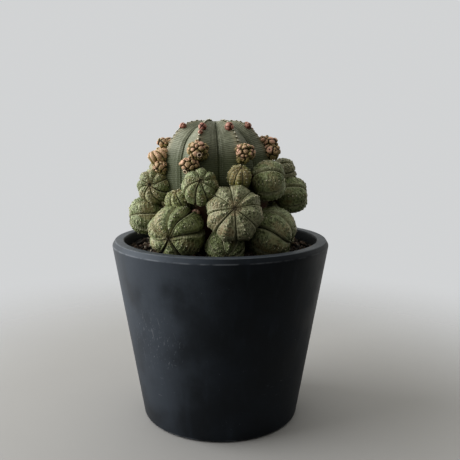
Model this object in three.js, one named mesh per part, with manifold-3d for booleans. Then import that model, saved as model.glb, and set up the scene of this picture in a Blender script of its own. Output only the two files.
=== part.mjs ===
// A potted euphorbia: a ribbed globe of a stem with chains of offsets down its ribs, in a round tapered pot.
// Millimetres, +Z up. The origin is the centre of the pot's underside, and the front of the plant faces -Y.
import * as THREE from 'three';
import { mergeVertices } from 'three/addons/utils/BufferGeometryUtils.js';
import Module from 'manifold-3d';

const wasm = await Module();
wasm.setup();

// ---- Driving dimensions ----

// Pot
const potHeight = 88.3;
const rimRadius = 52.5; // the widest place, at the crease under the rim's bevel
const rimBevelDrop = 2.3; // from the rim's flat top down to the crease
const rimBevelWidth = 1.4;
const rimFlat = 4; // width of the rim's flat top
const mouthBevel = 0.8;
const baseRadius = 38.4;
const baseBevel = 1;
const bottomWall = 5.2; // side wall measured outwards at floor height
const floorThickness = 6;
const footWidth = 8; // the ring that the pot stands on
const footRecess = 1.5; // how far the underside is sunk inside the foot
const drainRadius = 6;
const mouthRadius = rimRadius - rimBevelWidth - rimFlat;
const potSides = 56;

// Soil
const soilDrop = 4.6; // from the rim's top down to the soil at the wall
const soilCrown = 0.6; // how much higher the soil stands in the middle
const soilRings = 6;

// Main stem
const stemHeight = 62.7; // above the soil's level
const stemRadius = 26.5; // over the ribs
const stemBelly = 28.2; // from the top down to the widest place
const stemBuried = 21.7; // how deep the foot of the stem sits in the soil
const stemShift = -2.4; // the plant stands a little to the left in its pot
const stemSquareness = 2.7; // 2 is an ellipse, more is boxier
const stemRibs = 8;
const stemGrooveDepth = 2.2;
const stemDimple = 2.4; // how far the growing point is sunk
const stemTurn = 1.5; // degrees, turns all the ribs
const columnsPerStemRib = 4;
const stemRows = 18;

// Offsets
const seatGap = 0.3; // what is left between pieces that touch
const neckShare = 0.42; // an offset's neck, as a share of its radius
const neckRoot = 3; // how far the neck would run into the stem before it is trimmed
const neckSides = 8;
const grooveShare = 0.11; // depth of an offset's grooves, as a share of its radius
const dimpleShare = 0.12;

const soilLevel = potHeight - soilDrop;
const degree = Math.PI / 180;

// Each offset: where its rib stands (turn, degrees from the front, positive to the right), how far up
// the stem it sits (rise, a share of the stem's height), how far its centre stands out from the ribs
// (out, mm), its radius (mm), the way its tip faces (face, degrees like turn, and lift, degrees up),
// its number of ribs (8 unless said) and its height over its width (tall, usualTall unless said).
const usualRibs = 8;
const usualTall = 0.9;
const offsets = {
  // the large ones low on the plant come first, and the later ones are trimmed to fit against them
  front_right_pup_large: { turn: 14, rise: 0.333, out: 9.2, radius: 12.3, face: 3, lift: 18 },
  front_left_pup_large: { turn: -33.5, rise: 0.179, out: 6.8, radius: 12.9, face: -20, lift: -5, tall: 0.88 },
  right_front_pup_large: { turn: 52, rise: 0.153, out: 8.6, radius: 12.1, face: 50, lift: -7 },
  back_left_pup_large: { turn: -156, rise: 0.301, out: 8, radius: 11.5, face: -160, lift: 14 },
  right_back_pup_low: { turn: 113, rise: 0.132, out: 7.5, radius: 10.5, face: 118, lift: -4 },
  left_back_pup_low: { turn: -112, rise: 0.222, out: 7.2, radius: 10, face: -118, lift: 4 },
  front_left_pup_upper: { turn: -12.5, rise: 0.508, out: 3.3, radius: 8.4, face: 2, lift: 31, tall: 0.92 },
  left_front_pup_upper: { turn: -70.5, rise: 0.484, out: 3.6, radius: 8.3, face: -16, lift: 13 },
  left_front_pup_low: { turn: -76, rise: 0.264, out: 8.8, radius: 9.1, face: -75, lift: 0, ribs: 7, tall: 0.95 },
  right_front_pup_upper: { turn: 50, rise: 0.545, out: 5.2, radius: 9.2, face: 82, lift: 6, ribs: 7, tall: 0.88 },
  right_front_pup_low: { turn: 88, rise: 0.407, out: 10.8, radius: 9, face: 86, lift: 4, ribs: 7 },
  right_back_pup_upper: { turn: 98, rise: 0.587, out: 6.2, radius: 6.9, face: 100, lift: 12, ribs: 6, tall: 1 },
  right_back_pup_middle: { turn: 121, rise: 0.412, out: 5.8, radius: 9.2, face: 130, lift: 12, tall: 0.92 },
  left_back_pup_upper: { turn: -119, rise: 0.529, out: 4.6, radius: 8.6, face: -124, lift: 18, ribs: 7, tall: 0.94 },
  back_right_pup_upper: { turn: 158, rise: 0.534, out: 5.4, radius: 8.8, face: 166, lift: 22, tall: 0.92 },
  back_right_pup_middle: { turn: 153, rise: 0.285, out: 8.2, radius: 8.6, face: 148, lift: 4, ribs: 7, tall: 0.95 },
  back_left_pup_upper: { turn: -160, rise: 0.587, out: 4.2, radius: 6.6, face: -150, lift: 30, ribs: 6, tall: 0.98 },
  front_pup_base: { turn: 9, rise: 0.084, out: 6.6, radius: 8.9, face: 4, lift: -8, ribs: 7 },
  back_right_pup_base: { turn: 166, rise: 0.073, out: 8.4, radius: 7.6, face: 164, lift: -6, ribs: 7 },
  back_left_pup_base: { turn: -146, rise: 0.073, out: 8.8, radius: 7.4, face: -140, lift: -4, ribs: 6, tall: 0.92 },
  front_left_pup_small: { turn: -36.5, rise: 0.39, out: 2, radius: 5.9, face: -52, lift: 50, ribs: 6, tall: 1 },
  front_right_pup_small: { turn: 20.5, rise: 0.576, out: 3.9, radius: 5.3, face: 14, lift: 58, ribs: 6, tall: 1.06 },
  // knots of tiny offsets and spent flowers near the shoulder
  front_right_knot: { turn: 28.5, rise: 0.737, out: 2.6, radius: 4.5, face: 24, lift: 30, ribs: 5 },
  front_left_knot_upper: { turn: -16.5, rise: 0.756, out: 1.4, radius: 4.8, face: -10, lift: 20, ribs: 5 },
  front_left_knot_lower: { turn: -24, rise: 0.653, out: 1.6, radius: 4.3, face: -34, lift: 8, ribs: 5 },
  left_front_knot_upper: { turn: -71, rise: 0.708, out: 1.9, radius: 5.1, face: -80, lift: 16, ribs: 5 },
  left_front_knot_lower: { turn: -63, rise: 0.637, out: 2, radius: 3.8, face: -60, lift: -6, ribs: 5 },
  left_front_knot_top: { turn: -78, rise: 0.804, out: 1.6, radius: 2.9, face: -80, lift: 40, ribs: 5 },
  right_front_knot_upper: { turn: 80, rise: 0.797, out: 2.5, radius: 3.8, face: 80, lift: 42, ribs: 5 },
  right_front_knot_lower: { turn: 77, rise: 0.737, out: 2.3, radius: 4.2, face: 74, lift: 4, ribs: 5 },
  right_front_knot_top: { turn: 73, rise: 0.831, out: 0.6, radius: 1.8, face: 74, lift: 60, ribs: 5 },
  right_back_knot: { turn: 116, rise: 0.741, out: 1.8, radius: 4, face: 118, lift: 20, ribs: 5 },
  back_right_knot_upper: { turn: 159, rise: 0.788, out: 1.5, radius: 3.6, face: 158, lift: 30, ribs: 5 },
  back_right_knot_lower: { turn: 164, rise: 0.709, out: 2, radius: 4.3, face: 172, lift: 10, ribs: 5 },
  back_left_knot: { turn: -156, rise: 0.746, out: 1.8, radius: 4.4, face: -150, lift: 24, ribs: 5 },
  left_back_knot_upper: { turn: -113, rise: 0.788, out: 1.4, radius: 3.4, face: -112, lift: 32, ribs: 5 },
  left_back_knot_lower: { turn: -108, rise: 0.709, out: 2, radius: 4.2, face: -104, lift: 8, ribs: 5 },
};

// Pink flower buds on the shoulder, one to a rib: turn as above, reach from the stem's axis and radius.
const buds = {
  front_left_bud: { turn: -19, reach: 17.5, radius: 1.9 },
  front_right_bud: { turn: 21.5, reach: 17.5, radius: 2.1 },
  right_front_bud: { turn: 66, reach: 16.8, radius: 1.8 },
  right_back_bud: { turn: 113, reach: 16.4, radius: 1.9 },
  back_right_bud: { turn: 159, reach: 17, radius: 1.8 },
  back_left_bud: { turn: -156, reach: 16.2, radius: 2 },
  left_back_bud: { turn: -111, reach: 17, radius: 1.7 },
  left_front_bud: { turn: -63, reach: 16.8, radius: 1.8 },
};
const budRise = -0.2; // a bud's centre lies this much above the stem's skin, or below it if negative
const budColumns = 8;
const budRows = 5;

// ---- Solids ----

function toSolid(geometry) {
  const bare = geometry.clone();
  bare.deleteAttribute('normal');
  bare.deleteAttribute('uv');
  const merged = mergeVertices(bare, 1e-4);
  return new wasm.Manifold(new wasm.Mesh({
    numProp: 3,
    vertProperties: new Float32Array(merged.attributes.position.array),
    triVerts: new Uint32Array(merged.index.array),
  }));
}

function toGeometry(solid) {
  const mesh = solid.getMesh();
  const geometry = new THREE.BufferGeometry();
  geometry.setAttribute('position', new THREE.BufferAttribute(mesh.vertProperties, 3));
  geometry.setIndex(new THREE.BufferAttribute(mesh.triVerts, 1));
  return geometry;
}

// The largest connected part of a geometry, without the crumbs that a cut can leave.
function mainPart(geometry) {
  const index = geometry.index.array;
  const owner = Array.from({ length: geometry.attributes.position.count }, (_, i) => i);
  const find = (i) => {
    let top = i;
    while (owner[top] !== top) top = owner[top];
    owner[i] = top;
    return top;
  };
  for (let i = 0; i < index.length; i += 3) {
    owner[find(index[i + 1])] = find(index[i]);
    owner[find(index[i + 2])] = find(index[i]);
  }
  const faces = new Map();
  for (let i = 0; i < index.length; i += 3) {
    const key = find(index[i]);
    if (!faces.has(key)) faces.set(key, []);
    faces.get(key).push(index[i], index[i + 1], index[i + 2]);
  }
  const largest = [...faces.values()].sort((a, b) => b.length - a.length)[0];
  const part = new THREE.BufferGeometry();
  part.setAttribute('position', geometry.attributes.position.clone());
  part.setIndex(largest);
  return part.toNonIndexed();
}

// ---- Pot and soil ----

// The cavity's wall runs straight from the floor to the bevel inside the mouth.
function cavityRadius(height) {
  const floorRadius = outsideRadius(floorThickness) - bottomWall;
  const share = (height - floorThickness) / (potHeight - mouthBevel - floorThickness);
  return THREE.MathUtils.lerp(floorRadius, mouthRadius - mouthBevel / 2, share);
}

function outsideRadius(height) {
  const creaseHeight = potHeight - rimBevelDrop;
  return THREE.MathUtils.lerp(baseRadius, rimRadius, height / creaseHeight);
}

function potGeometry(grow = 0) {
  const bevelHeight = potHeight - mouthBevel;
  const footInside = baseRadius - baseBevel - footWidth;
  const outline = [
    [drainRadius, footRecess],
    [footInside - footRecess, footRecess],
    [footInside, 0],
    [baseRadius - baseBevel, 0],
    [outsideRadius(baseBevel), baseBevel],
    [rimRadius, potHeight - rimBevelDrop],
    [rimRadius - rimBevelWidth, potHeight + grow],
    [mouthRadius - grow, potHeight + grow],
    [cavityRadius(bevelHeight) - grow, bevelHeight],
    [cavityRadius(floorThickness) - grow, floorThickness + grow],
    [drainRadius, floorThickness + grow],
    [drainRadius, footRecess],
  ];
  const points = outline.map(([x, y]) => new THREE.Vector2(x, y));
  return new THREE.LatheGeometry(points, potSides).rotateX(Math.PI / 2);
}

function soilGeometry(grow = 0) {
  const bottom = floorThickness + seatGap;
  const outline = [new THREE.Vector2(0, bottom), new THREE.Vector2(cavityRadius(bottom) - seatGap, bottom)];
  const wallRadius = cavityRadius(soilLevel) - seatGap;
  // when grown, the side still runs along the pot's wall up to the raised edge
  if (grow > 0) outline.push(new THREE.Vector2(cavityRadius(soilLevel + grow) - seatGap, soilLevel + grow));
  for (let i = soilRings; i >= 0; i -= 1) {
    const share = i / soilRings;
    outline.push(new THREE.Vector2(wallRadius * share, soilLevel + grow + soilCrown * (1 - share * share)));
  }
  return new THREE.LatheGeometry(outline, potSides).rotateX(Math.PI / 2);
}

// ---- Stem and offsets ----

// Turns a unit sphere into a ribbed body with its axis on Z: place(share along a meridian, rib) gives
// the radius and height of a point, and rib is 1 on a ridge and 0 at the bottom of a groove.
function ribbedGeometry(ribs, columns, rows, place) {
  const geometry = new THREE.SphereGeometry(1, columns, rows).rotateX(Math.PI / 2);
  const position = geometry.attributes.position;
  const point = new THREE.Vector3();
  for (let i = 0; i < position.count; i += 1) {
    point.fromBufferAttribute(position, i);
    const polar = Math.acos(THREE.MathUtils.clamp(point.z, -1, 1));
    const around = Math.atan2(point.y, point.x);
    const rib = 1 - Math.pow(Math.abs(Math.sin((around * ribs) / 2)), 1.5);
    const { radius, height } = place(polar, rib);
    position.setXYZ(i, radius * Math.cos(around), radius * Math.sin(around), height);
  }
  return geometry;
}

const stemBellyHeight = soilLevel + stemHeight - stemBelly;
const stemLower = stemHeight - stemBelly + stemBuried;

// Radius over the ribs at a height above the pot's underside.
function ridgeRadius(height) {
  const above = height >= stemBellyHeight;
  const share = Math.abs(height - stemBellyHeight) / (above ? stemBelly : stemLower);
  const power = above ? stemSquareness : 2;
  return stemRadius * Math.pow(Math.max(0, 1 - Math.pow(share, power)), 1 / power);
}

// Height of the ribs' crest on the shoulder at a distance from the stem's axis.
function shoulderHeight(reach) {
  const share = reach / stemRadius;
  return stemBellyHeight + stemBelly * Math.pow(1 - Math.pow(share, stemSquareness), 1 / stemSquareness);
}

function stemGeometry(grow = 0) {
  const geometry = ribbedGeometry(stemRibs, stemRibs * columnsPerStemRib, stemRows, (polar, rib) => {
    const upper = polar < Math.PI / 2;
    const power = upper ? stemSquareness : 2;
    const along = Math.pow(Math.abs(Math.cos(polar)), 2 / power);
    const across = Math.pow(Math.sin(polar), 2 / power);
    const groove = stemGrooveDepth * (1 - rib) * Math.sin(polar);
    const dimple = upper ? stemDimple * Math.exp(-Math.pow(polar / 0.3, 2)) : 0;
    return {
      radius: Math.max(0, (stemRadius + grow) * across - groove),
      height: stemBellyHeight + (upper ? (stemBelly + grow) * along - dimple : -(stemLower + grow) * along),
    };
  });
  const ridgeTurn = (180 / stemRibs + stemTurn - 90) * degree;
  return geometry.rotateZ(ridgeTurn).translate(stemShift, 0, 0);
}

function around(turn, reach, height) {
  return new THREE.Vector3(
    stemShift + reach * Math.sin(turn * degree),
    -reach * Math.cos(turn * degree),
    height,
  );
}

function offsetSolid(spec, grow = 0) {
  const { ribs = usualRibs, tall = usualTall } = spec;
  const height = soilLevel + spec.rise * stemHeight;
  const reach = ridgeRadius(height) + spec.out;
  const centre = around(spec.turn, reach, height);
  const radius = spec.radius + grow;
  const rows = spec.radius > 7 ? 9 : 7;
  const body = ribbedGeometry(ribs, ribs * 2, rows, (polar, rib) => ({
    radius: radius * Math.pow(Math.sin(polar), 0.85) * (1 - grooveShare * (1 - rib)),
    height: radius * tall * (Math.cos(polar) - dimpleShare * Math.exp(-Math.pow(polar / 0.4, 2))),
  }));
  const tip = new THREE.Vector3(
    Math.sin(spec.face * degree) * Math.cos(spec.lift * degree),
    -Math.cos(spec.face * degree) * Math.cos(spec.lift * degree),
    Math.sin(spec.lift * degree),
  );
  body.applyQuaternion(new THREE.Quaternion().setFromUnitVectors(new THREE.Vector3(0, 0, 1), tip));
  body.translate(centre.x, centre.y, centre.z);

  const root = around(spec.turn, ridgeRadius(height) - neckRoot, height);
  const neckLength = centre.distanceTo(root);
  const neckRadius = spec.radius * neckShare + grow;
  const neck = new THREE.CylinderGeometry(neckRadius, neckRadius, neckLength, neckSides);
  const inward = root.clone().sub(centre).normalize();
  neck.applyQuaternion(new THREE.Quaternion().setFromUnitVectors(new THREE.Vector3(0, 1, 0), inward));
  const middle = centre.clone().add(root).multiplyScalar(0.5);
  neck.translate(middle.x, middle.y, middle.z);
  return toSolid(body).add(toSolid(neck));
}

function budSolid(spec, grow = 0) {
  const centre = around(spec.turn, spec.reach, shoulderHeight(spec.reach) + budRise);
  const ball = new THREE.SphereGeometry(spec.radius + grow, budColumns, budRows);
  return toSolid(ball.translate(centre.x, centre.y, centre.z));
}

// ---- Materials ----

const finish = {
  pot: new THREE.MeshStandardMaterial({ color: '#34383d', roughness: 0.7, metalness: 0 }),
  soil: new THREE.MeshStandardMaterial({ color: '#2b211b', roughness: 1, metalness: 0 }),
  stem: new THREE.MeshStandardMaterial({ color: '#7d8a6c', roughness: 0.6, metalness: 0 }),
  pup: new THREE.MeshStandardMaterial({ color: '#6f7f55', roughness: 0.6, metalness: 0 }),
  knot: new THREE.MeshStandardMaterial({ color: '#94785f', roughness: 0.7, metalness: 0 }),
  bud: new THREE.MeshStandardMaterial({ color: '#b0706a', roughness: 0.6, metalness: 0 }),
};

// ---- Assembly ----

const euphorbia = new THREE.Group();

function place(name, geometry, material) {
  geometry.computeVertexNormals();
  const mesh = new THREE.Mesh(geometry, material);
  mesh.name = name;
  euphorbia.add(mesh);
}

// Pieces already in place, grown by the seat gap, that later ones are trimmed against.
const standing = [];

function trimmed(solid) {
  const cut = standing.reduce((left, other) => left.subtract(other), solid);
  return mainPart(toGeometry(cut));
}

place('pot', potGeometry(), finish.pot);
standing.push(toSolid(potGeometry(seatGap)));
place('main_stem', trimmed(toSolid(stemGeometry())), finish.stem);
standing.push(toSolid(stemGeometry(seatGap)));
place('soil', trimmed(toSolid(soilGeometry())), finish.soil);
standing.push(toSolid(soilGeometry(seatGap)));

for (const [name, spec] of Object.entries(offsets)) {
  place(name, trimmed(offsetSolid(spec)), name.includes('knot') ? finish.knot : finish.pup);
  standing.push(offsetSolid(spec, seatGap));
}
for (const [name, spec] of Object.entries(buds)) {
  place(name, trimmed(budSolid(spec)), finish.bud);
}

export default euphorbia;
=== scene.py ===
import math
import random

import bpy
import numpy as np
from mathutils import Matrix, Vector


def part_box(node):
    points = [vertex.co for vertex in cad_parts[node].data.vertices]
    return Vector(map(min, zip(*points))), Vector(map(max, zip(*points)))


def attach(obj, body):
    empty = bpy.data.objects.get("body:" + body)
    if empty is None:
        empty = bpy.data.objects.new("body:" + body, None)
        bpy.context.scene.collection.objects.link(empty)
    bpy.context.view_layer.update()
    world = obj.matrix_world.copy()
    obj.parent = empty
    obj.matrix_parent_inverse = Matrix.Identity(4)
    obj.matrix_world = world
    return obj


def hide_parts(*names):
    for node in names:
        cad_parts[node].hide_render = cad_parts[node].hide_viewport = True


# A potted euphorbia. Metres, +Z up, the front of the plant faces -Y.
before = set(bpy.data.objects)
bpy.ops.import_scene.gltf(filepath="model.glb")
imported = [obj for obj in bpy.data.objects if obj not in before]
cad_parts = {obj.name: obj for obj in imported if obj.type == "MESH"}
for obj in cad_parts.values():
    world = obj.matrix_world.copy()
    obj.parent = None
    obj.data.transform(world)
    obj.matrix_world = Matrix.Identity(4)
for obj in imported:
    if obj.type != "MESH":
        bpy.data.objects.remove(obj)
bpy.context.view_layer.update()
mm = 0.001

# places that everything is worked out from
potHigh = np.array(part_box("pot")[1])
soilLow, soilHigh = [np.array(corner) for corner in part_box("soil")]
stemLow, stemHigh = [np.array(corner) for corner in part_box("main_stem")]

stem = {
    "ribs": 8,
    "turn": 1.5,  # degrees, turns every rib
    "squareness": 2.36,  # 2 is an ellipse, more is boxier
    "belly": 28.2 * mm,  # from the crown down to the widest place
    "groove": 3.0 * mm,
    "crease": 0.45 * mm,
    "twist": 2.6,  # degrees between the crown and the widest place
    "dimple": 2.0 * mm,
    "sunken": 1.9 * mm,  # what the dimple takes off the crown's height
    "fold": 0.2 * mm,  # the soft upright folds beside each groove
    "columnsPerRib": 44,
    "rows": 230,
}
soilCrown = 0.6 * mm  # the soil stands this much higher in the middle
soilLevel = soilHigh[2] - soilCrown
stemFoot = (stemLow + stemHigh) / 2 * (1, 1, 0)  # where the stem's axis meets the ground
ribSpread = math.cos(math.radians(180 / stem["ribs"] - stem["turn"]))  # the box meets the ribs at a slant
stemRadius = (stemHigh[0] - stemLow[0]) / 2 / ribSpread
stemTop = stemHigh[2] + stem["sunken"]
stemHeight = stemTop - soilLevel
bellyHeight = stemTop - stem["belly"]
stemLower = bellyHeight - stemLow[2]


def ridgeRadius(height):
    above = height >= bellyHeight
    share = abs(height - bellyHeight) / (stem["belly"] if above else stemLower)
    power = stem["squareness"] if above else 2
    return stemRadius * max(0, 1 - share**power) ** (1 / power)


def shoulderHeight(reach):
    share = (reach / stemRadius) ** stem["squareness"]
    return bellyHeight + stem["belly"] * (1 - share) ** (1 / stem["squareness"])


def aroundStem(turn, reach, height):
    # turn is in degrees from the front, to the right
    turn = math.radians(turn)
    return stemFoot + np.array([reach * math.sin(turn), -reach * math.cos(turn), height])


def direction(face, lift):
    face, lift = math.radians(face), math.radians(lift)
    return np.array([math.sin(face) * math.cos(lift), -math.cos(face) * math.cos(lift), math.sin(lift)])


def smooth(low, high, value):
    share = np.clip((value - low) / (high - low), 0, 1)
    return share * share * (3 - 2 * share)


def ripple(points, rng, size, waves=7):
    # soft lumps about "size" across, from -1 to 1
    total = np.zeros(points.shape[:-1])
    for _ in range(waves):
        heading = np.array([rng.gauss(0, 1) for _ in range(3)])
        heading *= 2 * math.pi / size / np.linalg.norm(heading) * rng.uniform(0.6, 1.4)
        total += np.sin(points @ heading + rng.uniform(0, 2 * math.pi))
    return total / waves * 1.6


def draws(rng, low, high, count):
    return np.array([rng.uniform(low, high) for _ in range(count)])


def swivel(angle):
    cos, sin = math.cos(angle), math.sin(angle)
    return np.array([[cos, -sin, 0], [sin, cos, 0], [0, 0, 1]])


def turnTo(points, tip, spin=0.0):
    # turns points whose axis is +Z so that the axis runs along tip
    turned = Vector((0, 0, 1)).rotation_difference(Vector(tip)).to_matrix()
    return points @ (np.array(turned) @ swivel(spin)).T


def roundTurn(count):
    # the angles of that many points spread evenly round a circle
    return np.arange(count) / count * 2 * math.pi


def onCircle(reach, turn, height):
    # points from a reach, a turn and a height, each a number or a grid
    return np.stack(np.broadcast_arrays(reach * np.cos(turn), reach * np.sin(turn), height), axis=-1)


def ballRings(rows, columns):
    # a ball of radius 1 from top to bottom, without its two poles
    polar = np.linspace(0, math.pi, rows + 1)[1:-1][:, None]
    return onCircle(np.sin(polar), roundTurn(columns), np.cos(polar))


markNames = ("across", "run", "down", "blush", "tone", "beat")


class Heap:
    # gathers closed skins into one mesh, with a few marks at each point for its material to read
    def __init__(self):
        self.points, self.faces, self.marks, self.count = [], [], {name: [] for name in markNames}, 0

    def add(self, points, faces, **marks):
        points = points.reshape(-1, 3)
        self.points.append(points)
        for face in faces:
            self.faces.append(face + self.count)
        for name in markNames:
            value = np.asarray(marks.get(name, 0.0), dtype=float).ravel()
            self.marks[name].append(np.broadcast_to(value, len(points)))
        self.count += len(points)

    def build(self, name, material, node=None, flat=False):
        mesh = bpy.data.meshes.new(name)
        points = np.concatenate(self.points)
        mesh.vertices.add(len(points))
        mesh.vertices.foreach_set("co", points.astype(np.float32).ravel())
        corners = np.concatenate([face.ravel() for face in self.faces])
        sizes = np.concatenate([np.full(len(face), face.shape[1]) for face in self.faces])
        starts = np.concatenate([[0], np.cumsum(sizes)[:-1]])
        mesh.loops.add(len(corners))
        mesh.loops.foreach_set("vertex_index", corners.astype(np.int32))
        mesh.polygons.add(len(sizes))
        mesh.polygons.foreach_set("loop_start", starts.astype(np.int32))
        mesh.polygons.foreach_set("use_smooth", np.full(len(sizes), not flat))
        for mark in markNames:
            layer = mesh.attributes.new(mark, "FLOAT", "POINT")
            layer.data.foreach_set("value", np.concatenate(self.marks[mark]).astype(np.float32))
        mesh.update(calc_edges=True)
        mesh.validate()
        mesh.materials.append(material)
        piece = bpy.data.objects.new(name, mesh)
        bpy.context.scene.collection.objects.link(piece)
        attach(piece, "root")
        if node:
            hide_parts(node)


def ringFaces(rows, columns):
    # quads between rings of points that close on themselves
    row, column = np.meshgrid(np.arange(rows - 1), np.arange(columns), indexing="ij")
    row, column = row.ravel(), column.ravel()
    after = (column + 1) % columns
    here, below = row * columns, (row + 1) * columns
    return np.stack([here + column, below + column, below + after, here + after], axis=1)


def hoopFaces(rows, columns):
    # the same, with the last ring joined to the first, and facing outwards
    return [(ringFaces(rows + 1, columns) % (rows * columns))[:, ::-1]]


def capFaces(pole, ring, columns, up):
    column = np.arange(columns)
    after = (column + 1) % columns
    pair = (ring + column, ring + after) if up else (ring + after, ring + column)
    return np.stack([np.full(columns, pole), *pair], axis=1)


def closedSkin(rings, top, bottom):
    # rings from top to bottom, counter-clockwise seen from above, and a pole point at each end
    rows, columns = rings.shape[:2]
    points = np.concatenate([rings.reshape(-1, 3), [top], [bottom]])
    last = rows * columns
    faces = [
        ringFaces(rows, columns),
        capFaces(last, 0, columns, True),
        capFaces(last + 1, last - columns, columns, False),
    ]
    return points, faces


def withPoles(grid, top, bottom):
    return np.concatenate([grid.ravel(), [top, bottom]])


def bead(heap, centre, outward, size, flat=0.6, columns=8, rows=5, **marks):
    # a small flattened ball that sits on the skin
    points, faces = closedSkin(ballRings(rows, columns) * (1, 1, flat), (0, 0, flat), (0, 0, -flat))
    heap.add(turnTo(points * size, outward) + centre, faces, **marks)


class Nodes:
    # a node tree with a short call for each kind of node; colour and normal build up coat by coat
    def __init__(self, owner, colours=None):
        owner.use_nodes = True
        self.owner, self.tree, self.colours = owner, owner.node_tree, colours
        self.where = self.colour = self.normal = None

    def put(self, socket, value):
        if isinstance(value, bpy.types.NodeSocket):
            self.tree.links.new(value, socket)
        else:
            socket.default_value = value

    def mark(self, name):
        node = self.tree.nodes.new("ShaderNodeAttribute")
        node.attribute_name = name
        return node.outputs["Fac"]

    def place(self, kind="Object"):
        if not self.where:
            self.where = self.tree.nodes.new("ShaderNodeTexCoord")
        return self.where.outputs[kind]

    def maths(self, operation, first, second=0.0, third=0.0):
        node = self.tree.nodes.new("ShaderNodeMath")
        node.operation = operation
        for socket, value in zip(node.inputs, (first, second, third)):
            self.put(socket, value)
        return node.outputs[0]

    def times(self, first, second):
        return self.maths("MULTIPLY", first, second)

    def vector(self, operation, first, second=(0, 0, 0)):
        node = self.tree.nodes.new("ShaderNodeVectorMath")
        node.operation = operation
        self.put(node.inputs[0], first)
        node.inputs[1].default_value = second
        return node.outputs["Value"]

    def between(self, value, low, high, start=0.0, end=1.0):
        # start below the low value, end above the high one, and a soft change from one to the other
        node = self.tree.nodes.new("ShaderNodeMapRange")
        node.interpolation_type = "SMOOTHSTEP"
        for socket, given in zip(node.inputs, (value, low, high, start, end)):
            self.put(socket, given)
        return node.outputs[0]

    def noise(self, grain, detail=4.0, rough=0.55, stretch=None, lean=0.0):
        # grain is the size of the lumps in metres; stretch draws them out and lean tilts them
        where = self.place()
        if stretch:
            turn = self.tree.nodes.new("ShaderNodeMapping")
            turn.vector_type = "TEXTURE"
            self.put(turn.inputs["Vector"], where)
            turn.inputs["Scale"].default_value = [1 / part for part in stretch]
            turn.inputs["Rotation"].default_value = (0, math.radians(lean), 0)
            where = turn.outputs[0]
        node = self.tree.nodes.new("ShaderNodeTexNoise")
        self.put(node.inputs["Vector"], where)
        node.inputs["Scale"].default_value = 1 / grain
        node.inputs["Detail"].default_value = detail
        node.inputs["Roughness"].default_value = rough
        return node.outputs[0]

    def cells(self, size, wander):
        # 0 on the borders between cells, more towards their middles; wander bends the borders
        bent = self.tree.nodes.new("ShaderNodeTexNoise")
        self.put(bent.inputs["Vector"], self.place())
        bent.inputs["Scale"].default_value = 1 / size
        shift = self.tree.nodes.new("ShaderNodeVectorMath")
        shift.operation = "MULTIPLY_ADD"
        self.put(shift.inputs[0], bent.outputs["Color"])
        shift.inputs[1].default_value = (wander,) * 3
        self.put(shift.inputs[2], self.place())
        node = self.tree.nodes.new("ShaderNodeTexVoronoi")
        node.feature = "DISTANCE_TO_EDGE"
        self.put(node.inputs["Vector"], shift.outputs[0])
        node.inputs["Scale"].default_value = 1 / size
        return node.outputs["Distance"]

    def blend(self, share, first, second):
        node = self.tree.nodes.new("ShaderNodeMix")
        node.data_type = "RGBA"
        for socket, value in zip((node.inputs[0], node.inputs[6], node.inputs[7]), (share, first, second)):
            self.put(socket, (*value, 1) if isinstance(value, tuple) else value)
        return node.outputs[2]

    def base(self, share, first, second):
        self.colour = self.blend(share, self.colours[first], self.colours[second])

    def coat(self, share, name):
        # lays one of the piece's colours over those before it
        self.colour = self.blend(share, self.colour, self.colours[name])

    def wash(self, name, *change):
        # the same, coming or going as a value changes; see between
        self.coat(self.between(*change), name)

    def relief(self, height, depth, strength=1.0):
        node = self.tree.nodes.new("ShaderNodeBump")
        node.inputs["Strength"].default_value = strength
        node.inputs["Distance"].default_value = depth
        self.put(node.inputs["Height"], height)
        if self.normal:
            self.put(node.inputs["Normal"], self.normal)
        self.normal = node.outputs[0]

    def finish(self, rough, specular, sheen=(1, 1, 1)):
        shader = self.tree.nodes["Principled BSDF"]
        self.put(shader.inputs["Base Color"], self.colour)
        self.put(shader.inputs["Roughness"], rough)
        shader.inputs["Specular IOR Level"].default_value = specular
        shader.inputs["Specular Tint"].default_value = (*sheen, 1)
        self.put(shader.inputs["Normal"], self.normal)
        return self.owner


def newSkin(name, colours):
    return Nodes(bpy.data.materials.new(name), colours)


# camera, light and floor
view = {
    "distance": 290.8 * mm,
    "height": 139.8 * mm,
    "down": 9.38,  # degrees below level
    "lens": 46.9,
    "shift": 0.0208,
}
studio = {
    "windowPower": 20.5,
    "windowFace": -88,  # degrees from the front, on the left
    "windowLift": 18,
    "windowDistance": 1.2,
    "windowSize": 1.2,
    "backdrop": (0.555, 0.563, 0.568),
    "floor": (0.39, 0.385, 0.375),
    "floorDim": (0.3705, 0.36575, 0.35625),  # in faint clouds on the floor
    "roomLight": (1.0, 0.99, 0.95),
    "floorSize": 8.0,
    "floorFade": (0.09, 0.32),  # metres from the pot over which the floor melts into the backdrop
}


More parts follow.
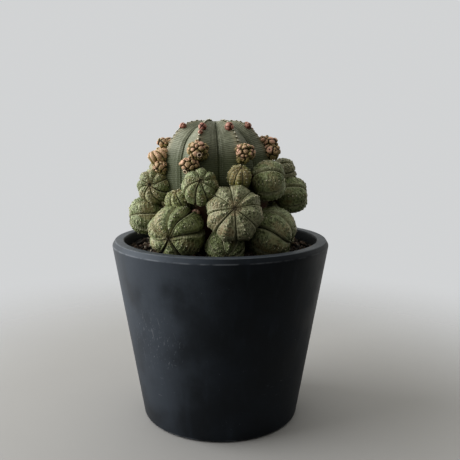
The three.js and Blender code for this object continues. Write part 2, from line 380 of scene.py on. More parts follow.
def setStudio():
    scene = bpy.context.scene
    lens = bpy.data.cameras.new("camera")
    lens.lens = view["lens"]
    lens.sensor_width = 36
    lens.shift_x = view["shift"]
    lens.clip_start = 10 * mm
    eye = bpy.data.objects.new("camera", lens)
    eye.location = (0, -view["distance"], view["height"])
    eye.rotation_euler = (math.radians(90 - view["down"]), 0, 0)
    scene.collection.objects.link(eye)
    scene.camera = eye
    scene.view_settings.view_transform = "Standard"
    scene.view_settings.look = "Medium High Contrast"

    window = bpy.data.lights.new("window", "AREA")
    window.energy = studio["windowPower"]
    window.size = studio["windowSize"]
    window.color = (0.985, 0.99, 1.0)
    lamp = bpy.data.objects.new("window", window)
    toLamp = Vector(direction(studio["windowFace"], studio["windowLift"]))
    target = Vector((0, 0, soilLevel))
    lamp.location = target + toLamp * studio["windowDistance"]
    lamp.rotation_euler = (-toLamp).to_track_quat("-Z", "Y").to_euler()
    scene.collection.objects.link(lamp)

    # the room: brighter behind and to the left, dim in front and to the right
    world = bpy.data.worlds.new("room")
    scene.world = world
    room = Nodes(world)
    room.tree.nodes.clear()
    axes = room.tree.nodes.new("ShaderNodeSeparateXYZ")
    room.put(axes.inputs[0], room.place("Generated"))
    across, ahead, up = axes.outputs
    aside = room.between(across, -0.95, 0.1, 0.34, 0.0)
    sides = room.maths("ADD", aside, room.between(ahead, -0.1, 0.7, 0.0, 0.6))
    glow = room.maths("ADD", sides, room.between(up, 0.1, 0.9, 0.066, 0.50))
    seen = room.tree.nodes.new("ShaderNodeBackground")
    seen.inputs["Color"].default_value = (*studio["backdrop"], 1)
    felt = room.tree.nodes.new("ShaderNodeBackground")
    felt.inputs["Color"].default_value = (*studio["roomLight"], 1)
    room.put(felt.inputs["Strength"], glow)
    pick = room.tree.nodes.new("ShaderNodeMixShader")
    rays = room.tree.nodes.new("ShaderNodeLightPath")
    room.put(pick.inputs[0], rays.outputs["Is Camera Ray"])
    room.put(pick.inputs[1], felt.outputs[0])
    room.put(pick.inputs[2], seen.outputs[0])
    room.put(room.tree.nodes.new("ShaderNodeOutputWorld").inputs[0], pick.outputs[0])

    half = studio["floorSize"] / 2
    mesh = bpy.data.meshes.new("floor")
    corners = [(-half, -half, 0), (half, -half, 0), (half, half, 0), (-half, half, 0)]
    mesh.from_pydata(corners, [], [(0, 1, 2, 3)])
    paper = newSkin("floorPaper", studio)
    paper.base(paper.noise(60 * mm), "floor", "floorDim")
    paper.relief(paper.noise(0.4 * mm, detail=2.0), 0.03 * mm)
    mesh.materials.append(paper.finish(0.8, specular=0.1))
    # the floor melts away into the backdrop, so that no edge is seen behind the plant
    far = paper.vector("LENGTH", paper.place())
    solid = paper.between(far, *studio["floorFade"], 1.0, 0.0)
    paper.put(paper.tree.nodes["Principled BSDF"].inputs["Alpha"], solid)
    floor = bpy.data.objects.new("floor", mesh)
    scene.collection.objects.link(floor)


setStudio()
print("studio set")

# the pot, turned from one outline
pot = {
    "bevelDrop": 2.3 * mm,
    "bevelWidth": 1.4 * mm,
    "rimFlat": 4.0 * mm,
    "mouthBevel": 0.8 * mm,
    "baseRadius": 38.4 * mm,
    "wall": 5.2 * mm,
    "floor": 6.0 * mm,
    "footWidth": 8.0 * mm,
    "footRecess": 1.5 * mm,
    "drainRadius": 6.0 * mm,
    "edgeRound": 0.45 * mm,
    "sides": 288,
    "wobble": 0.05 * mm,  # how far the wall strays from a true circle
    "body": (0.0036, 0.0041, 0.0055),
    "worn": (0.024, 0.031, 0.043),
    # the rim's top, painted lighter as if lit from above
    "rim": (0.078, 0.089, 0.104),
    # the painted sheen: a soft reflection of the window on the wall's left side
    "paintedSheen": (0.040, 0.047, 0.058),
    "sheenTurn": -48,  # degrees from the front, where the painted sheen is strongest
    "scratchTurn": -40,
    "scratchHeight": 47 * mm,
    "scratchRadius": 46 * mm,
    "scratchReach": 21 * mm,
    "sheen": (0.80, 0.91, 1.0),
    "scuff": (0.11, 0.118, 0.13),
}


def potOutline():
    # corner points from the drain hole out over the foot, up the wall, over the rim and down inside
    rim, top = potHigh[0], potHigh[2]
    crease = top - pot["bevelDrop"]
    slope = (rim - pot["baseRadius"]) / crease
    mouth = rim - pot["bevelWidth"] - pot["rimFlat"]
    insideFoot = pot["baseRadius"] - mm - pot["footWidth"]
    floorRadius = pot["baseRadius"] + slope * pot["floor"] - pot["wall"]
    bevelFoot = top - pot["mouthBevel"]
    # each corner: radius, height, rounding, wear
    return [
        (pot["drainRadius"], pot["footRecess"], 0.2 * mm, 0),
        (insideFoot - pot["footRecess"], pot["footRecess"], 0.3 * mm, 0),
        (insideFoot, 0, 0.3 * mm, 0.4),
        (pot["baseRadius"] - mm, 0, 0.3 * mm, 0.8),
        (pot["baseRadius"] + slope * mm, mm, 0.5 * mm, 0.9),
        (rim, crease, pot["edgeRound"], 1),
        (rim - pot["bevelWidth"], top, pot["edgeRound"], 0.8),
        (mouth, top, 0.3 * mm, 0.7),
        (mouth - pot["mouthBevel"] / 2, bevelFoot, 0.5 * mm, 0.3),
        (floorRadius, pot["floor"], 2 * mm, 0),
        (pot["drainRadius"], pot["floor"], 0.3 * mm, 0),
    ]


def roundedOutline(corners):
    # replaces each corner by a short arc and adds points along the straights between them
    count = len(corners)
    arcs = []
    for i, (x, z, size, wear) in enumerate(corners):
        here = np.array([x, z])
        before = np.array(corners[i - 1][:2]) - here
        after = np.array(corners[(i + 1) % count][:2]) - here
        reach = min(size, 0.4 * np.linalg.norm(before), 0.4 * np.linalg.norm(after))
        start = here + before / np.linalg.norm(before) * reach
        end = here + after / np.linalg.norm(after) * reach
        arc = []
        for s in np.linspace(0, 1, 7):
            spot = (1 - s) ** 2 * start + 2 * s * (1 - s) * here + s * s * end
            arc.append((*spot, wear * (1 - (2 * s - 1) ** 2)))
        arcs.append(arc)
    points = []
    for i, arc in enumerate(arcs):
        points += arc
        ahead = arcs[(i + 1) % count][0]
        steps = max(1, int(math.dist(arc[-1][:2], ahead[:2]) / (2.2 * mm)))
        for k in range(1, steps):
            share = k / steps
            between = [(1 - share) * a + share * b for a, b in zip(arc[-1][:2], ahead[:2])]
            points.append((*between, 0))
    return np.array(points)


def potMaterial():
    wall = newSkin("potCharcoal", pot)
    wear = wall.mark("blush")
    cloudy = wall.noise(22 * mm, detail=5.0)
    streaks = wall.noise(5 * mm, stretch=(1, 1, 0.12))
    speckle = wall.noise(0.7 * mm, detail=2.0)
    streaked = wall.between(streaks, 0.5, 0.75, 0, 0.28)
    wall.base(wall.maths("ADD", wall.between(cloudy, 0.35, 0.7, 0, 0.3), streaked), "body", "worn")
    # a painted sheen, a soft reflection of the window, strongest on its side of the wall
    towards = wall.vector("DOT_PRODUCT", wall.place(), direction(pot["sheenTurn"], 0) / potHigh[0])
    sheenPatch = wall.times(wall.between(towards, 0.5, 0.95), wall.between(cloudy, 0.3, 0.65, 0.35, 1.0))
    wall.coat(sheenPatch, "paintedSheen")
    # the rim's top painted lighter, as if lit from above, under fine turning marks that wander a little
    wander = wall.times(cloudy, 14.0)
    ringWave = wall.maths("SINE", wall.maths("MULTIPLY_ADD", wall.mark("run"), 2 * math.pi / 0.55, wander))
    turned = wall.times(wall.mark("tone"), wall.between(ringWave, -0.6, 1.0, 0.45, 1.0))
    wall.coat(turned, "rim")
    # edges rubbed pale, and paler still on the window side, where the pale wear also serves as a painted
    # highlight
    edge = wall.times(wear, wall.between(wall.noise(5 * mm, detail=6.0), 0.36, 0.6, 0.1, 0.95))
    wall.coat(wall.times(edge, wall.between(towards, 0.0, 0.8, 0.35, 1.0)), "scuff")
    # short scuffs where the pot has been handled, in three directions
    for stretch, low in (((0.16, 0.5, 1.6), 0.685), ((0.5, 0.3, 2.4), 0.7), ((1.7, 1.5, 0.25), 0.71)):
        line = wall.noise(1.5 * mm, detail=3.0, rough=0.6, stretch=stretch)
        patch = wall.between(wall.noise(24 * mm, detail=2.0), 0.5, 0.66)
        wall.coat(wall.times(patch, wall.between(line, low, low + 0.05, 0, 0.75)), "scuff")
    # a patch of fine scratches low on the side of the painted sheen
    scratched = pot["scratchRadius"] * direction(pot["scratchTurn"], 0)
    scratched[2] = pot["scratchHeight"]
    away = wall.vector("DISTANCE", wall.place(), scratched)
    near = wall.between(away, 0.25 * pot["scratchReach"], pot["scratchReach"], 1.0, 0.0)
    for lean, low in ((24, 0.66), (-12, 0.675), (8, 0.68)):
        line = wall.noise(1.1 * mm, detail=2.0, rough=0.5, stretch=(1.3, 1.3, 0.11), lean=lean)
        wall.coat(wall.times(near, wall.between(line, low, low + 0.04, 0, 0.8)), "scuff")
    chips = wall.between(wall.noise(0.9 * mm, detail=1.0), 0.77, 0.8, 0, 0.7)
    wall.coat(wall.times(chips, wall.between(cloudy, 0.4, 0.6)), "scuff")
    wall.relief(speckle, 0.05 * mm, strength=0.5)
    wall.relief(turned, 0.05 * mm)
    wall.relief(streaks, 0.12 * mm, strength=0.6)
    return wall.finish(wall.between(cloudy, 0.3, 0.7, 0.46, 0.6), specular=0.3, sheen=pot["sheen"])


def makePot():
    outline = roundedOutline(potOutline())
    rows, columns = len(outline), pot["sides"]
    around = roundTurn(columns)
    radius, height, wear = outline.T
    rng = random.Random("pot")
    wobble = sum(math.pow(0.6, k) * np.sin(k * around + rng.uniform(0, 6)) for k in range(2, 7))
    wobbly = radius[:, None] + pot["wobble"] * wobble * smooth(20 * mm, 80 * mm, height)[:, None]
    rings = onCircle(wobbly, around, height[:, None])
    # the rim's top, which the material paints lighter as if lit from above
    onRim = (height > potHigh[2] - 0.3 * mm) & (radius > potHigh[0] - 8 * mm)
    spread = np.ones(columns)
    heap = Heap()
    heap.add(
        rings,
        hoopFaces(rows, columns),
        blush=np.outer(wear, spread),
        run=np.outer(radius / mm, spread),
        tone=np.outer(onRim, spread),
    )
    heap.build("pot_turned", potMaterial(), "pot")


makePot()
print("pot turned")

# the soil bed and its loose grains
soil = {
    "relief": 0.54 * mm,
    "bedRows": 90,
    "bedColumns": 220,
    "footShare": 0.75,  # the bottom's radius, as a share of the top's
    "grains": 3200,
    "grainRows": 4,
    "grainColumns": 6,
    "grainSize": (0.8 * mm, 3.2 * mm),
    "dark": (0.012, 0.009, 0.006),
    "brown": (0.175, 0.120, 0.085),
    "pale": (0.42, 0.38, 0.31),
}


def soilMaterial(name):
    earth = newSkin(name, soil)
    tone = earth.mark("tone")
    fine = earth.noise(0.5 * mm, detail=5.0, rough=0.7)
    earth.base(earth.between(tone, 0.3, 0.75), "dark", "brown")
    earth.wash("pale", tone, 0.88, 0.97)
    earth.wash("dark", fine, 0.35, 0.75, 0, 0.5)
    earth.relief(fine, 0.25 * mm)
    return earth.finish(earth.between(fine, 0.3, 0.7, 0.75, 1.0), specular=0.25)


def makeSoilBed(rng):
    around = roundTurn(soil["bedColumns"])
    share = np.linspace(0, 1, soil["bedRows"] + 1)[1:, None]
    top = onCircle(share * soilHigh[0], around, 0)
    bumps = ripple(top, rng, 14 * mm) + 0.6 * ripple(top, rng, 5 * mm) + 0.45 * ripple(top, rng, 2.2 * mm)
    top[..., 2] = soilLevel + soilCrown * (1 - share**2) + soil["relief"] * bumps
    foot = onCircle(soil["footShare"] * soilHigh[0], around, soilLow[2])
    rings = np.concatenate([top, foot[None]])
    points, faces = closedSkin(rings, (0, 0, soilLevel + soilCrown), (0, 0, soilLow[2]))
    bed = Heap()
    bed.add(points, faces, tone=0.25 + 0.2 * ripple(points, rng, 6 * mm))
    bed.build("soil_bed", soilMaterial("soilBed"), "soil")


def makeGrains(rng):
    # small rough stones and crumbs pressed into the bed
    rows, columns = soil["grainRows"], soil["grainColumns"]
    smallest, largest = soil["grainSize"]
    grains = Heap()
    for _ in range(soil["grains"]):
        reach = soilHigh[0] * math.sqrt(rng.uniform(0.12, 0.97))
        turn = rng.uniform(0, 2 * math.pi)
        size = rng.uniform(0, 1) ** 2.2 * (largest - smallest) + smallest
        if reach + size > soilHigh[0]:
            continue
        height = soilLevel + soilCrown * (1 - (reach / soilHigh[0]) ** 2) + rng.uniform(-0.35, 0.35) * size
        jag = draws(rng, 0.7, 1.15, (rows - 1) * columns).reshape(-1, columns, 1)
        points, faces = closedSkin(ballRings(rows, columns) * jag, (0, 0, 0.8), (0, 0, -0.8))
        points = points * (size / 2) * np.array([1, rng.uniform(0.6, 1), rng.uniform(0.5, 0.9)])
        tip = direction(rng.uniform(-180, 180), rng.uniform(10, 90))
        points = turnTo(points, tip, rng.uniform(0, 6)) + onCircle(reach, turn, height)
        grains.add(points, faces, tone=rng.uniform(0, 1))
    grains.build("soil_grains", soilMaterial("soilGrains"), flat=True)


soilDraws = random.Random("soil")
makeSoilBed(soilDraws)
makeGrains(soilDraws)
print("soil laid")


def ribbedSkin(meridian, look, rng):
    # a closed ribbed body round +Z; look's depths are in metres
    polar = np.linspace(0, math.pi, look["rows"] + 1)[1:-1]
    radius, height = meridian(polar)
    widest = radius.max()
    stepR, stepH = np.gradient(radius), np.gradient(height)
    step = np.hypot(stepR, stepH)
    run = np.cumsum(step)
    normalR, normalH = (-stepH / step)[:, None], (stepR / step)[:, None]

    perRib, ribs = look["columnsPerRib"], look["ribs"]
    # across a rib from -1 to 1, with the columns crowded together beside the grooves
    aside = np.arange(perRib) / perRib * 2 - 1
    aside = np.sign(aside) * (1 - (1 - np.abs(aside)) ** 1.5)
    widths = 1 + look["uneven"] * draws(rng, -1, 1, ribs)
    edges = np.concatenate([[0], np.cumsum(widths / widths.sum())]) * 2 * math.pi
    if "creases" in look:  # degrees round the axis, one for each groove
        edges = np.radians([*look["creases"], look["creases"][0] + 360])
    theta = np.concatenate([edges[k] + (aside + 1) / 2 * (edges[k + 1] - edges[k]) for k in range(ribs)])
    aside = np.tile(aside, ribs)[None, :]
    rib = np.repeat(np.arange(ribs), perRib)
    half = np.abs(aside)

    girth = (radius / widest)[:, None]
    ends = smooth(0, 0.5, polar)[:, None] * smooth(math.pi, 2.35, polar)[:, None]
    taper = np.minimum(1, 0.35 + girth / 0.45)
    swell = 1 + look["uneven"] * 0.5 * draws(rng, -1, 1, ribs)[rib][None, :]
    bare = onCircle(radius[:, None], theta, height[:, None])
    depth = -look["pillow"] * half ** look["power"] * ends * swell
    edge = 1 - half
    width = look["creaseWidth"] * np.clip(0.55 / (girth + 0.05), 1, 2.6)  # creases stay open up to the tip
    crease = np.exp(-((edge / width) ** 1.3))
    depth = depth - look["crease"] * crease * taper
    lean = 1 + 0.7 * np.sign(aside)
    lip = np.exp(-(((edge - 2.3 * width) / (1.2 * width)) ** 2))
    depth = depth + look["lip"] * lip * lean * taper
    depth = depth + look["keel"] * np.exp(-((half / 0.13) ** 2)) * ends
    # knobs down each keel
    phase = draws(rng, 0, 1, ribs)[rib][None, :]
    beat = 0.5 + 0.5 * np.cos(2 * math.pi * (run[:, None] / look["knobStep"] + phase))
    depth = depth + look["knob"] * beat**2 * np.exp(-((half / 0.38) ** 2)) * ends
    # cross folds that bow over the rib
    drift = ripple(bare, rng, 9 * mm)
    fold = np.sin(2 * math.pi * (run[:, None] / look["foldStep"] - 0.5 * half**2 + 0.5 * drift))
    patchy = 0.6 + 0.5 * ripple(bare, rng, 5 * mm)
    depth = depth + look["foldDepth"] * fold * (0.45 + 0.55 * half) * ends * patchy
    depth = depth + look["lump"] * ripple(bare, rng, look["lumpSize"]) * ends
    if "upright" in look:  # soft folds that run beside the groove
        side = np.cos(2 * math.pi * edge / 0.22) * np.exp(-((edge / 0.3) ** 2))
        depth = depth + look["upright"] * side * ends

    sink = look["dimple"] * np.exp(-((polar / look["dimpleWidth"]) ** 2))[:, None]
    turned = theta + look["curl"] * np.sin(polar)[:, None] ** 2
    reach = radius[:, None] + depth * normalR
    rise = height[:, None] + depth * normalH - sink
    rings = onCircle(reach, turned, rise)
    top, bottom = meridian(np.array([1e-4, math.pi - 1e-4]))[1]
    points, faces = closedSkin(rings, (0, 0, top - look["dimple"] - 0.3 * look["crease"]), (0, 0, bottom))
    marks = {
        "across": withPoles(half + 0 * girth, 1, 1),
        "run": withPoles(run[:, None] / mm + 0 * half, 0, run[-1] / mm),
        "down": withPoles((polar / math.pi)[:, None] + 0 * half, 0, 1),
        "beat": withPoles(run[:, None] / look["knobStep"] + phase, 0.5, 0.5),
    }
    return points, faces, marks, rings, run, phase[0, ::perRib]


def scars(heap, rings, perRib, run, phase, look, rng, centre, turn):
    # pale flower scars on the knobs of each keel, and smaller specks scattered beside them
    for rib, start in enumerate(phase):
        keel = rib * perRib + perRib // 2
        places = []
        beat = -start * look["knobStep"]
        while beat < run[-1] * look["scarEnd"]:
            beat += look["knobStep"]
            if beat > look["scarStart"] and rng.random() > look["scarMiss"]:
                places.append((beat, keel + rng.randint(-1, 1), look["scar"] * rng.uniform(0.8, 1.3)))
            if beat > look["scarStart"] and rng.random() < look["specks"]:
                column = keel + rng.choice((-1, 1)) * rng.randint(2, perRib // 3)
                lower = beat + rng.uniform(-0.5, 0.5) * mm
                places.append((lower, column, look["scar"] * rng.uniform(0.45, 0.75)))
        for beat, column, size in places:
            row = int(np.searchsorted(run, beat))
            if 2 < row < len(rings) - 3:
                spot = rings[row, column]
                along = rings[row + 1, column] - rings[row - 1, column]
                outward = np.cross(rings[row, column + 1] - rings[row, column - 1], along)
                outward *= np.sign(outward @ spot) / np.linalg.norm(outward)
                spot, outward = turn(np.stack([spot, outward]))
                bead(heap, spot + centre, outward, size, flat=0.7, tone=1, down=0.5)


def bumpySkin(radius, bumps, depth, rng, rows=60, columns=90):
    # a ball covered in close-packed bumps, with marks for painted shade in the cracks between them and in
    # their pits
    way = np.concatenate([ballRings(rows, columns).reshape(-1, 3), [[0, 0, 1], [0, 0, -1]]])
    # the peaks wind round in a spiral, a little astray
    count = np.arange(bumps) + 0.5
    lift = 1 - 2 * count / bumps
    peaks = onCircle(np.sqrt(1 - lift**2), count * math.pi * (3 - math.sqrt(5)), lift)
    peaks += np.array([[rng.gauss(0, 0.5 / math.sqrt(bumps)) for _ in range(3)] for _ in range(bumps)])
    peaks /= np.linalg.norm(peaks, axis=1)[:, None]
    angle = np.arccos(np.clip(way @ peaks.T, -1, 1)) / draws(rng, 0.6, 1.5, bumps)
    order = np.argsort(angle, axis=1)[:, :2]
    near = np.take_along_axis(angle, order, axis=1)
    cell = math.acos(1 - 2 / bumps)
    dome = np.sqrt(np.clip(1 - (near[:, 0] / (1.25 * cell)) ** 2, 0, 1))
    crack = smooth(0, 0.6 * cell, near[:, 1] - near[:, 0])
    pitted = (draws(rng, 0, 1, bumps) < 0.3)[order[:, 0]]
    pit = np.exp(-((near[:, 0] / (0.24 * cell)) ** 2)) * (0.2 + 2.2 * pitted)
    proud = draws(rng, -0.3, 0.25, bumps)[order[:, 0]]
    height = depth * (0.75 * dome + 0.4 * crack - 0.14 * pit + proud - 1.05)
    shades = draws(rng, 0, 1, bumps)[order[:, 0]]
    points = way * (radius * (1 + height))[:, None]
    faces = closedSkin(points[:-2].reshape(rows - 1, columns, 3), points[-2], points[-1])[1]
    # where the material paints shade: in the cracks and in the pits of pitted bumps
    dark = np.maximum(1 - crack, 0.9 * pitted * np.exp(-((near[:, 0] / (0.2 * cell)) ** 4)))
    return points, faces, {"across": dark, "down": near[:, 0] / cell, "tone": shades}


# the main stem
stemSkin = {
    "flank": (0.165, 0.175, 0.115),
    "light": (0.280, 0.290, 0.211),
    # dark cross bands, and also the painted shade in the grooves and creases
    "deep": (0.040, 0.046, 0.020),
    "shade": (0.062, 0.078, 0.030),
    "crest": (0.34, 0.30, 0.20),
    "cork": (0.115, 0.042, 0.027),
    "scar": (0.80, 0.74, 0.60),
    "well": (0.055, 0.040, 0.022),
    "pink": (0.78, 0.50, 0.40),
    "bandStep": 0.95,  # mm between the fine cross bands
}


def stemMaterial():
    skin = newSkin("stemSkin", stemSkin)
    across, run, height, tone = skin.mark("across"), skin.mark("run"), skin.mark("down"), skin.mark("tone")
    cloudy = skin.noise(7 * mm)
    fine = skin.noise(0.6 * mm, detail=3.0)
    skin.base(skin.between(cloudy, 0.3, 0.72), "flank", "light")
    # fine cross bands that bow over each rib and wander
    wander = skin.times(skin.noise(4 * mm, detail=3.0), 5.0)
    bowed = skin.times(skin.maths("POWER", across, 2.0), -1.6)
    bands = skin.maths("MULTIPLY_ADD", run, 2 * math.pi / stemSkin["bandStep"], wander)
    bands = skin.maths("SINE", skin.maths("ADD", bands, bowed))
    patchy = skin.between(skin.noise(3 * mm, detail=2.0), 0.35, 0.6, 0.35, 1.0)
    skin.coat(skin.times(skin.between(bands, -0.3, 1.0, 0.0, 0.62), patchy), "deep")
    # painted shade: dark upright creases beside each groove
    creaseShade = skin.maths("SINE", skin.times(across, 2 * math.pi / 0.085))
    beside = skin.between(across, 0.66, 0.86, 0.0, 0.6)
    skin.coat(skin.times(beside, skin.between(creaseShade, 0.2, 1.0)), "deep")
    skin.wash("crest", across, 0.30, 0.02, 0.0, 0.6)
    # painted shade down the middle of each groove
    skin.wash("deep", across, 0.91, 0.99, 0.0, 0.7)
    # darker below the knots, then corky brown skin low down with a ragged edge
    shaded = skin.maths("MULTIPLY_ADD", cloudy, 0.06, height)
    skin.wash("shade", shaded, 0.37, 0.46, 0.0, 0.7)
    ragged = skin.maths("MULTIPLY_ADD", skin.noise(3 * mm, detail=5.0), 0.16, height)
    skin.wash("cork", ragged, 0.61, 0.68)
    skin.wash("well", tone, 0.2, 0.5)
    skin.wash("scar", tone, 0.6, 0.9)
    skin.coat(skin.mark("blush"), "pink")
    skin.relief(fine, 0.06 * mm, strength=0.6)
    skin.relief(bands, 0.05 * mm, strength=0.8)
    return skin.finish(skin.between(fine, 0.3, 0.7, 0.5, 0.66), specular=0.35)


onStem = {
    "pinkChains": (-21, 114, -156),  # turns of the ridges that carry chains of young pink buds
    "pinkReach": (14 * mm, 20 * mm),  # how far down from the crown the chains lie
    "scarReach": 42 * mm,
    "scarStep": (1.9, 2.6),  # mm
    "scarSize": (0.65, 0.95),  # mm
    "sideScars": 0.6,  # the scars at the sides are smaller and older
    "berryTurn": -19,  # a young berry in the gap beside the largest offset
    "berryHeight": 103.5 * mm,
    "berryRadius": 2.0 * mm,
    "berryOut": 1.2 * mm,
}


def ridgeScars(heap, keel, run, rng):
    # flower scars down one ridge: a small swelling with a pale scar in a dark ring
    middle = keel[len(keel) // 3] - stemFoot
    ridgeTurn = math.degrees(math.atan2(middle[0], -middle[1]))
    facing = 1 if abs(ridgeTurn) < 45 else onStem["sideScars"]
    chained = min(abs(ridgeTurn - chain) for chain in onStem["pinkChains"]) < 12
    pinkFrom, pinkTo = onStem["pinkReach"]
    beat = rng.uniform(3, 5) * mm
    while beat < onStem["scarReach"]:
        beat += rng.uniform(*onStem["scarStep"]) * mm
        row = int(np.searchsorted(run, beat))
        spot = keel[row]
        along = keel[row + 1] - keel[row - 1]
        aside = (spot - stemFoot) * (1, 1, 0)
        outward = np.array([0, 0, 1.0]) + aside / np.linalg.norm(aside)
        outward -= along * (outward @ along) / (along @ along)
        outward /= np.linalg.norm(outward)
        size = rng.uniform(*onStem["scarSize"]) * mm * facing
        young = chained and pinkFrom < beat < pinkTo
        swelling = size * (1.25 if young else 1)
        ring, scar = spot + outward * 0.2 * size, spot + outward * 0.45 * size
        bead(heap, spot, outward, swelling, flat=0.5, across=0.3, blush=0.9 * young, down=0.2)
        bead(heap, ring, outward, 0.7 * size, flat=0.5, across=0.1, tone=0.5, down=0.2)
        bead(heap, scar, outward, 0.5 * size, flat=0.7, across=0.1, tone=1, down=0.2)


def makeStem():
    rng = random.Random("main stem")
    power = stem["squareness"]

    def meridian(polar):
        upper = polar < math.pi / 2
        along = np.abs(np.cos(polar)) ** (2 / np.where(upper, power, 2))
        across = np.sin(polar) ** (2 / np.where(upper, power, 2))
        height = np.where(upper, bellyHeight + stem["belly"] * along, bellyHeight - stemLower * along)
        return stemRadius * across, height

    look = {
        "ribs": stem["ribs"], "columnsPerRib": stem["columnsPerRib"], "rows": stem["rows"], "uneven": 0.0,
        "pillow": stem["groove"], "power": 1.12, "crease": stem["crease"], "creaseWidth": 0.04,
        "lip": 0.12 * mm, "keel": 0.18 * mm, "knob": 0.2 * mm, "knobStep": 2.3 * mm,
        "foldStep": 0.95 * mm, "foldDepth": 0.03 * mm, "lump": 0.22 * mm, "lumpSize": 13 * mm,
        "upright": stem["fold"], "dimple": stem["dimple"], "dimpleWidth": 0.33,
        "curl": math.radians(stem["twist"]),
    }
    points, faces, marks, rings, run, _ = ribbedSkin(meridian, look, rng)
    # the first groove lies along +X; this brings it to the front, and on by the stem's own turn
    spun = swivel(math.radians(stem["turn"] - 90)).T
    heap = Heap()
    heap.add(points @ spun + stemFoot, faces, **marks)
    for rib in range(stem["ribs"]):
        keel = rings[:, rib * stem["columnsPerRib"] + stem["columnsPerRib"] // 2]
        ridgeScars(heap, keel @ spun + stemFoot, run, rng)
    turn, height = onStem["berryTurn"], onStem["berryHeight"]
    low = aroundStem(turn, ridgeRadius(height) + onStem["berryOut"], height)
    points, faces, marks = bumpySkin(onStem["berryRadius"], 9, 0.3, rng, rows=24, columns=32)
    # the berry's cracks take the dark well colour, as painted shade
    berryCrackShade = marks["across"]
    heap.add(points + low, faces, across=0.1, blush=1 - 0.7 * berryCrackShade, tone=0.5 * berryCrackShade, down=0.2)
    heap.build("stem_ribbed", stemMaterial(), "main_stem")


makeStem()
print("main stem grown")

# the offsets, which grow in chains down the ribs
offsetSkin = {
    "leaf": (0.166, 0.200, 0.068),
    "pale": (0.385, 0.430, 0.240),
    # painted highlight on the lips beside the creases
    "lip": (0.440, 0.440, 0.290),
    "dark": (0.030, 0.040, 0.007),
    "tan": (0.34, 0.235, 0.135),
    "cork": (0.085, 0.036, 0.022),
    "scar": (0.66, 0.60, 0.45),
    "yellow": (0.27, 0.255, 0.075),
    "brown": (0.320, 0.290, 0.195),
    "heart": (0.060, 0.045, 0.018),
    "bandStep": 0.85,  # mm
}

# turn, rise (share of the stem's height), out and radius (mm), face, lift, then what differs from the usual
offsets = {
    "front_right_pup_large": (14, 0.333, 9.2, 12.3, -1, 21, {
        "puff": 0.1, "ridge": 0.4, "tint": -0.7, "creases": (14, 50, 100, 139, 183, 224, 273, 324),
    }),
    "front_left_pup_large": (-33.5, 0.179, 6.8, 12.9, -18, -7, {
        "tall": 0.88, "puff": 0.95, "curl": -0.22, "tint": 0.2, "creases": (0, 50, 80, 132, 175, 225, 280),
    }),
    "right_front_pup_large": (52.5, 0.153, 8.8, 12.4, 70, -20, {
        "ribs": 7, "puff": 0.85, "curl": -0.2, "spin": -8, "tint": -0.15,
    }),
    "back_left_pup_large": (-156, 0.301, 8, 11.5, -160, 14, {"puff": 0.3, "spin": 30}),
    "right_back_pup_low": (113, 0.132, 7.5, 10.5, 118, -4, {"puff": 0.7, "curl": 0.2}),
    "left_back_pup_low": (-112, 0.222, 7.2, 10, -118, 4, {"puff": 0.5, "curl": -0.2}),
    "front_left_pup_upper": (-12.5, 0.508, 3.3, 8.4, 2, 31, {
        "tall": 0.92, "puff": 0.8, "curl": 0.15, "spin": 12,
    }),
    "left_front_pup_upper": (-70.5, 0.484, 3.6, 8.3, -16, 13, {"puff": 0.85, "curl": 0.25, "tint": -0.3}),
    "left_front_pup_low": (-76, 0.264, 8.8, 9.1, -75, 0, {
        "ribs": 7, "tall": 0.95, "puff": 0.55, "spin": 36,
    }),
    "right_front_pup_upper": (50, 0.545, 5.2, 9.2, 82, 6, {
        "ribs": 5, "tall": 0.88, "puff": 0.5, "spin": 14,
    }),
    "right_front_pup_low": (88, 0.407, 10.8, 9, 86, 4, {"ribs": 5, "puff": 0.55, "spin": 7}),
    "right_back_pup_upper": (97, 0.575, 6.2, 7.1, 100, 12, {
        "ribs": 7, "tall": 1, "puff": 0.8, "tint": -0.9, "spin": 20,
    }),
    "right_back_pup_middle": (121, 0.412, 5.8, 9.2, 130, 12, {"tall": 0.92, "puff": 0.3}),
    "left_back_pup_upper": (-119, 0.529, 4.6, 8.6, -124, 18, {
        "ribs": 7, "tall": 0.94, "puff": 0.8, "tint": 0.2,
    }),
    "back_right_pup_upper": (158, 0.534, 5.4, 8.8, 166, 22, {"tall": 0.92, "puff": 0.85, "curl": 0.2}),
    "back_right_pup_middle": (153, 0.285, 8.2, 8.6, 148, 4, {"ribs": 7, "tall": 0.95, "puff": 0.4}),
    "back_left_pup_upper": (-160, 0.587, 4.2, 6.6, -150, 30, {
        "ribs": 6, "tall": 0.98, "puff": 0.8, "tint": 0.5,
    }),
    "front_pup_base": (9, 0.084, 6.6, 8.9, 4, -30, {"ribs": 7, "puff": 0.0, "specks": 0.05, "spin": 10}),
    "back_right_pup_base": (166, 0.073, 8.4, 7.6, 164, -6, {"ribs": 7, "puff": 0.5}),
    "back_left_pup_base": (-146, 0.073, 8.8, 7.4, -140, -4, {"ribs": 6, "tall": 0.92, "puff": 0.6}),
    "front_left_pup_small": (-36.5, 0.39, 2, 5.9, -30, 72, {
        "tall": 1, "puff": 0.9, "curl": 0.3, "tint": 0.5, "specks": 0.1,
    }),
    "front_right_pup_small": (20.5, 0.576, 3.9, 5.3, 14, 58, {
        "ribs": 9, "tall": 1.06, "puff": 0.6, "tint": 0.9, "specks": 0.1,
    }),
}
usualOffset = {
    "ribs": 8,
    "tall": 0.9,  # height as a share of the width
    "puff": 0.5,  # how far the ribs swell out between the creases
    "ridge": 0.0,  # how sharp their keels are
    "curl": 0.0,  # how far the creases wind round, in radians
    "spin": 0,  # degrees round its own axis
    "tint": 0.0,  # towards brown below 0 and towards yellow above it
    "specks": 0.35,
}
neck = {
    "share": 0.42,  # its radius, as a share of its offset's or knot's
    "root": 1.0 * mm,  # how far it runs into the stem's skin
}


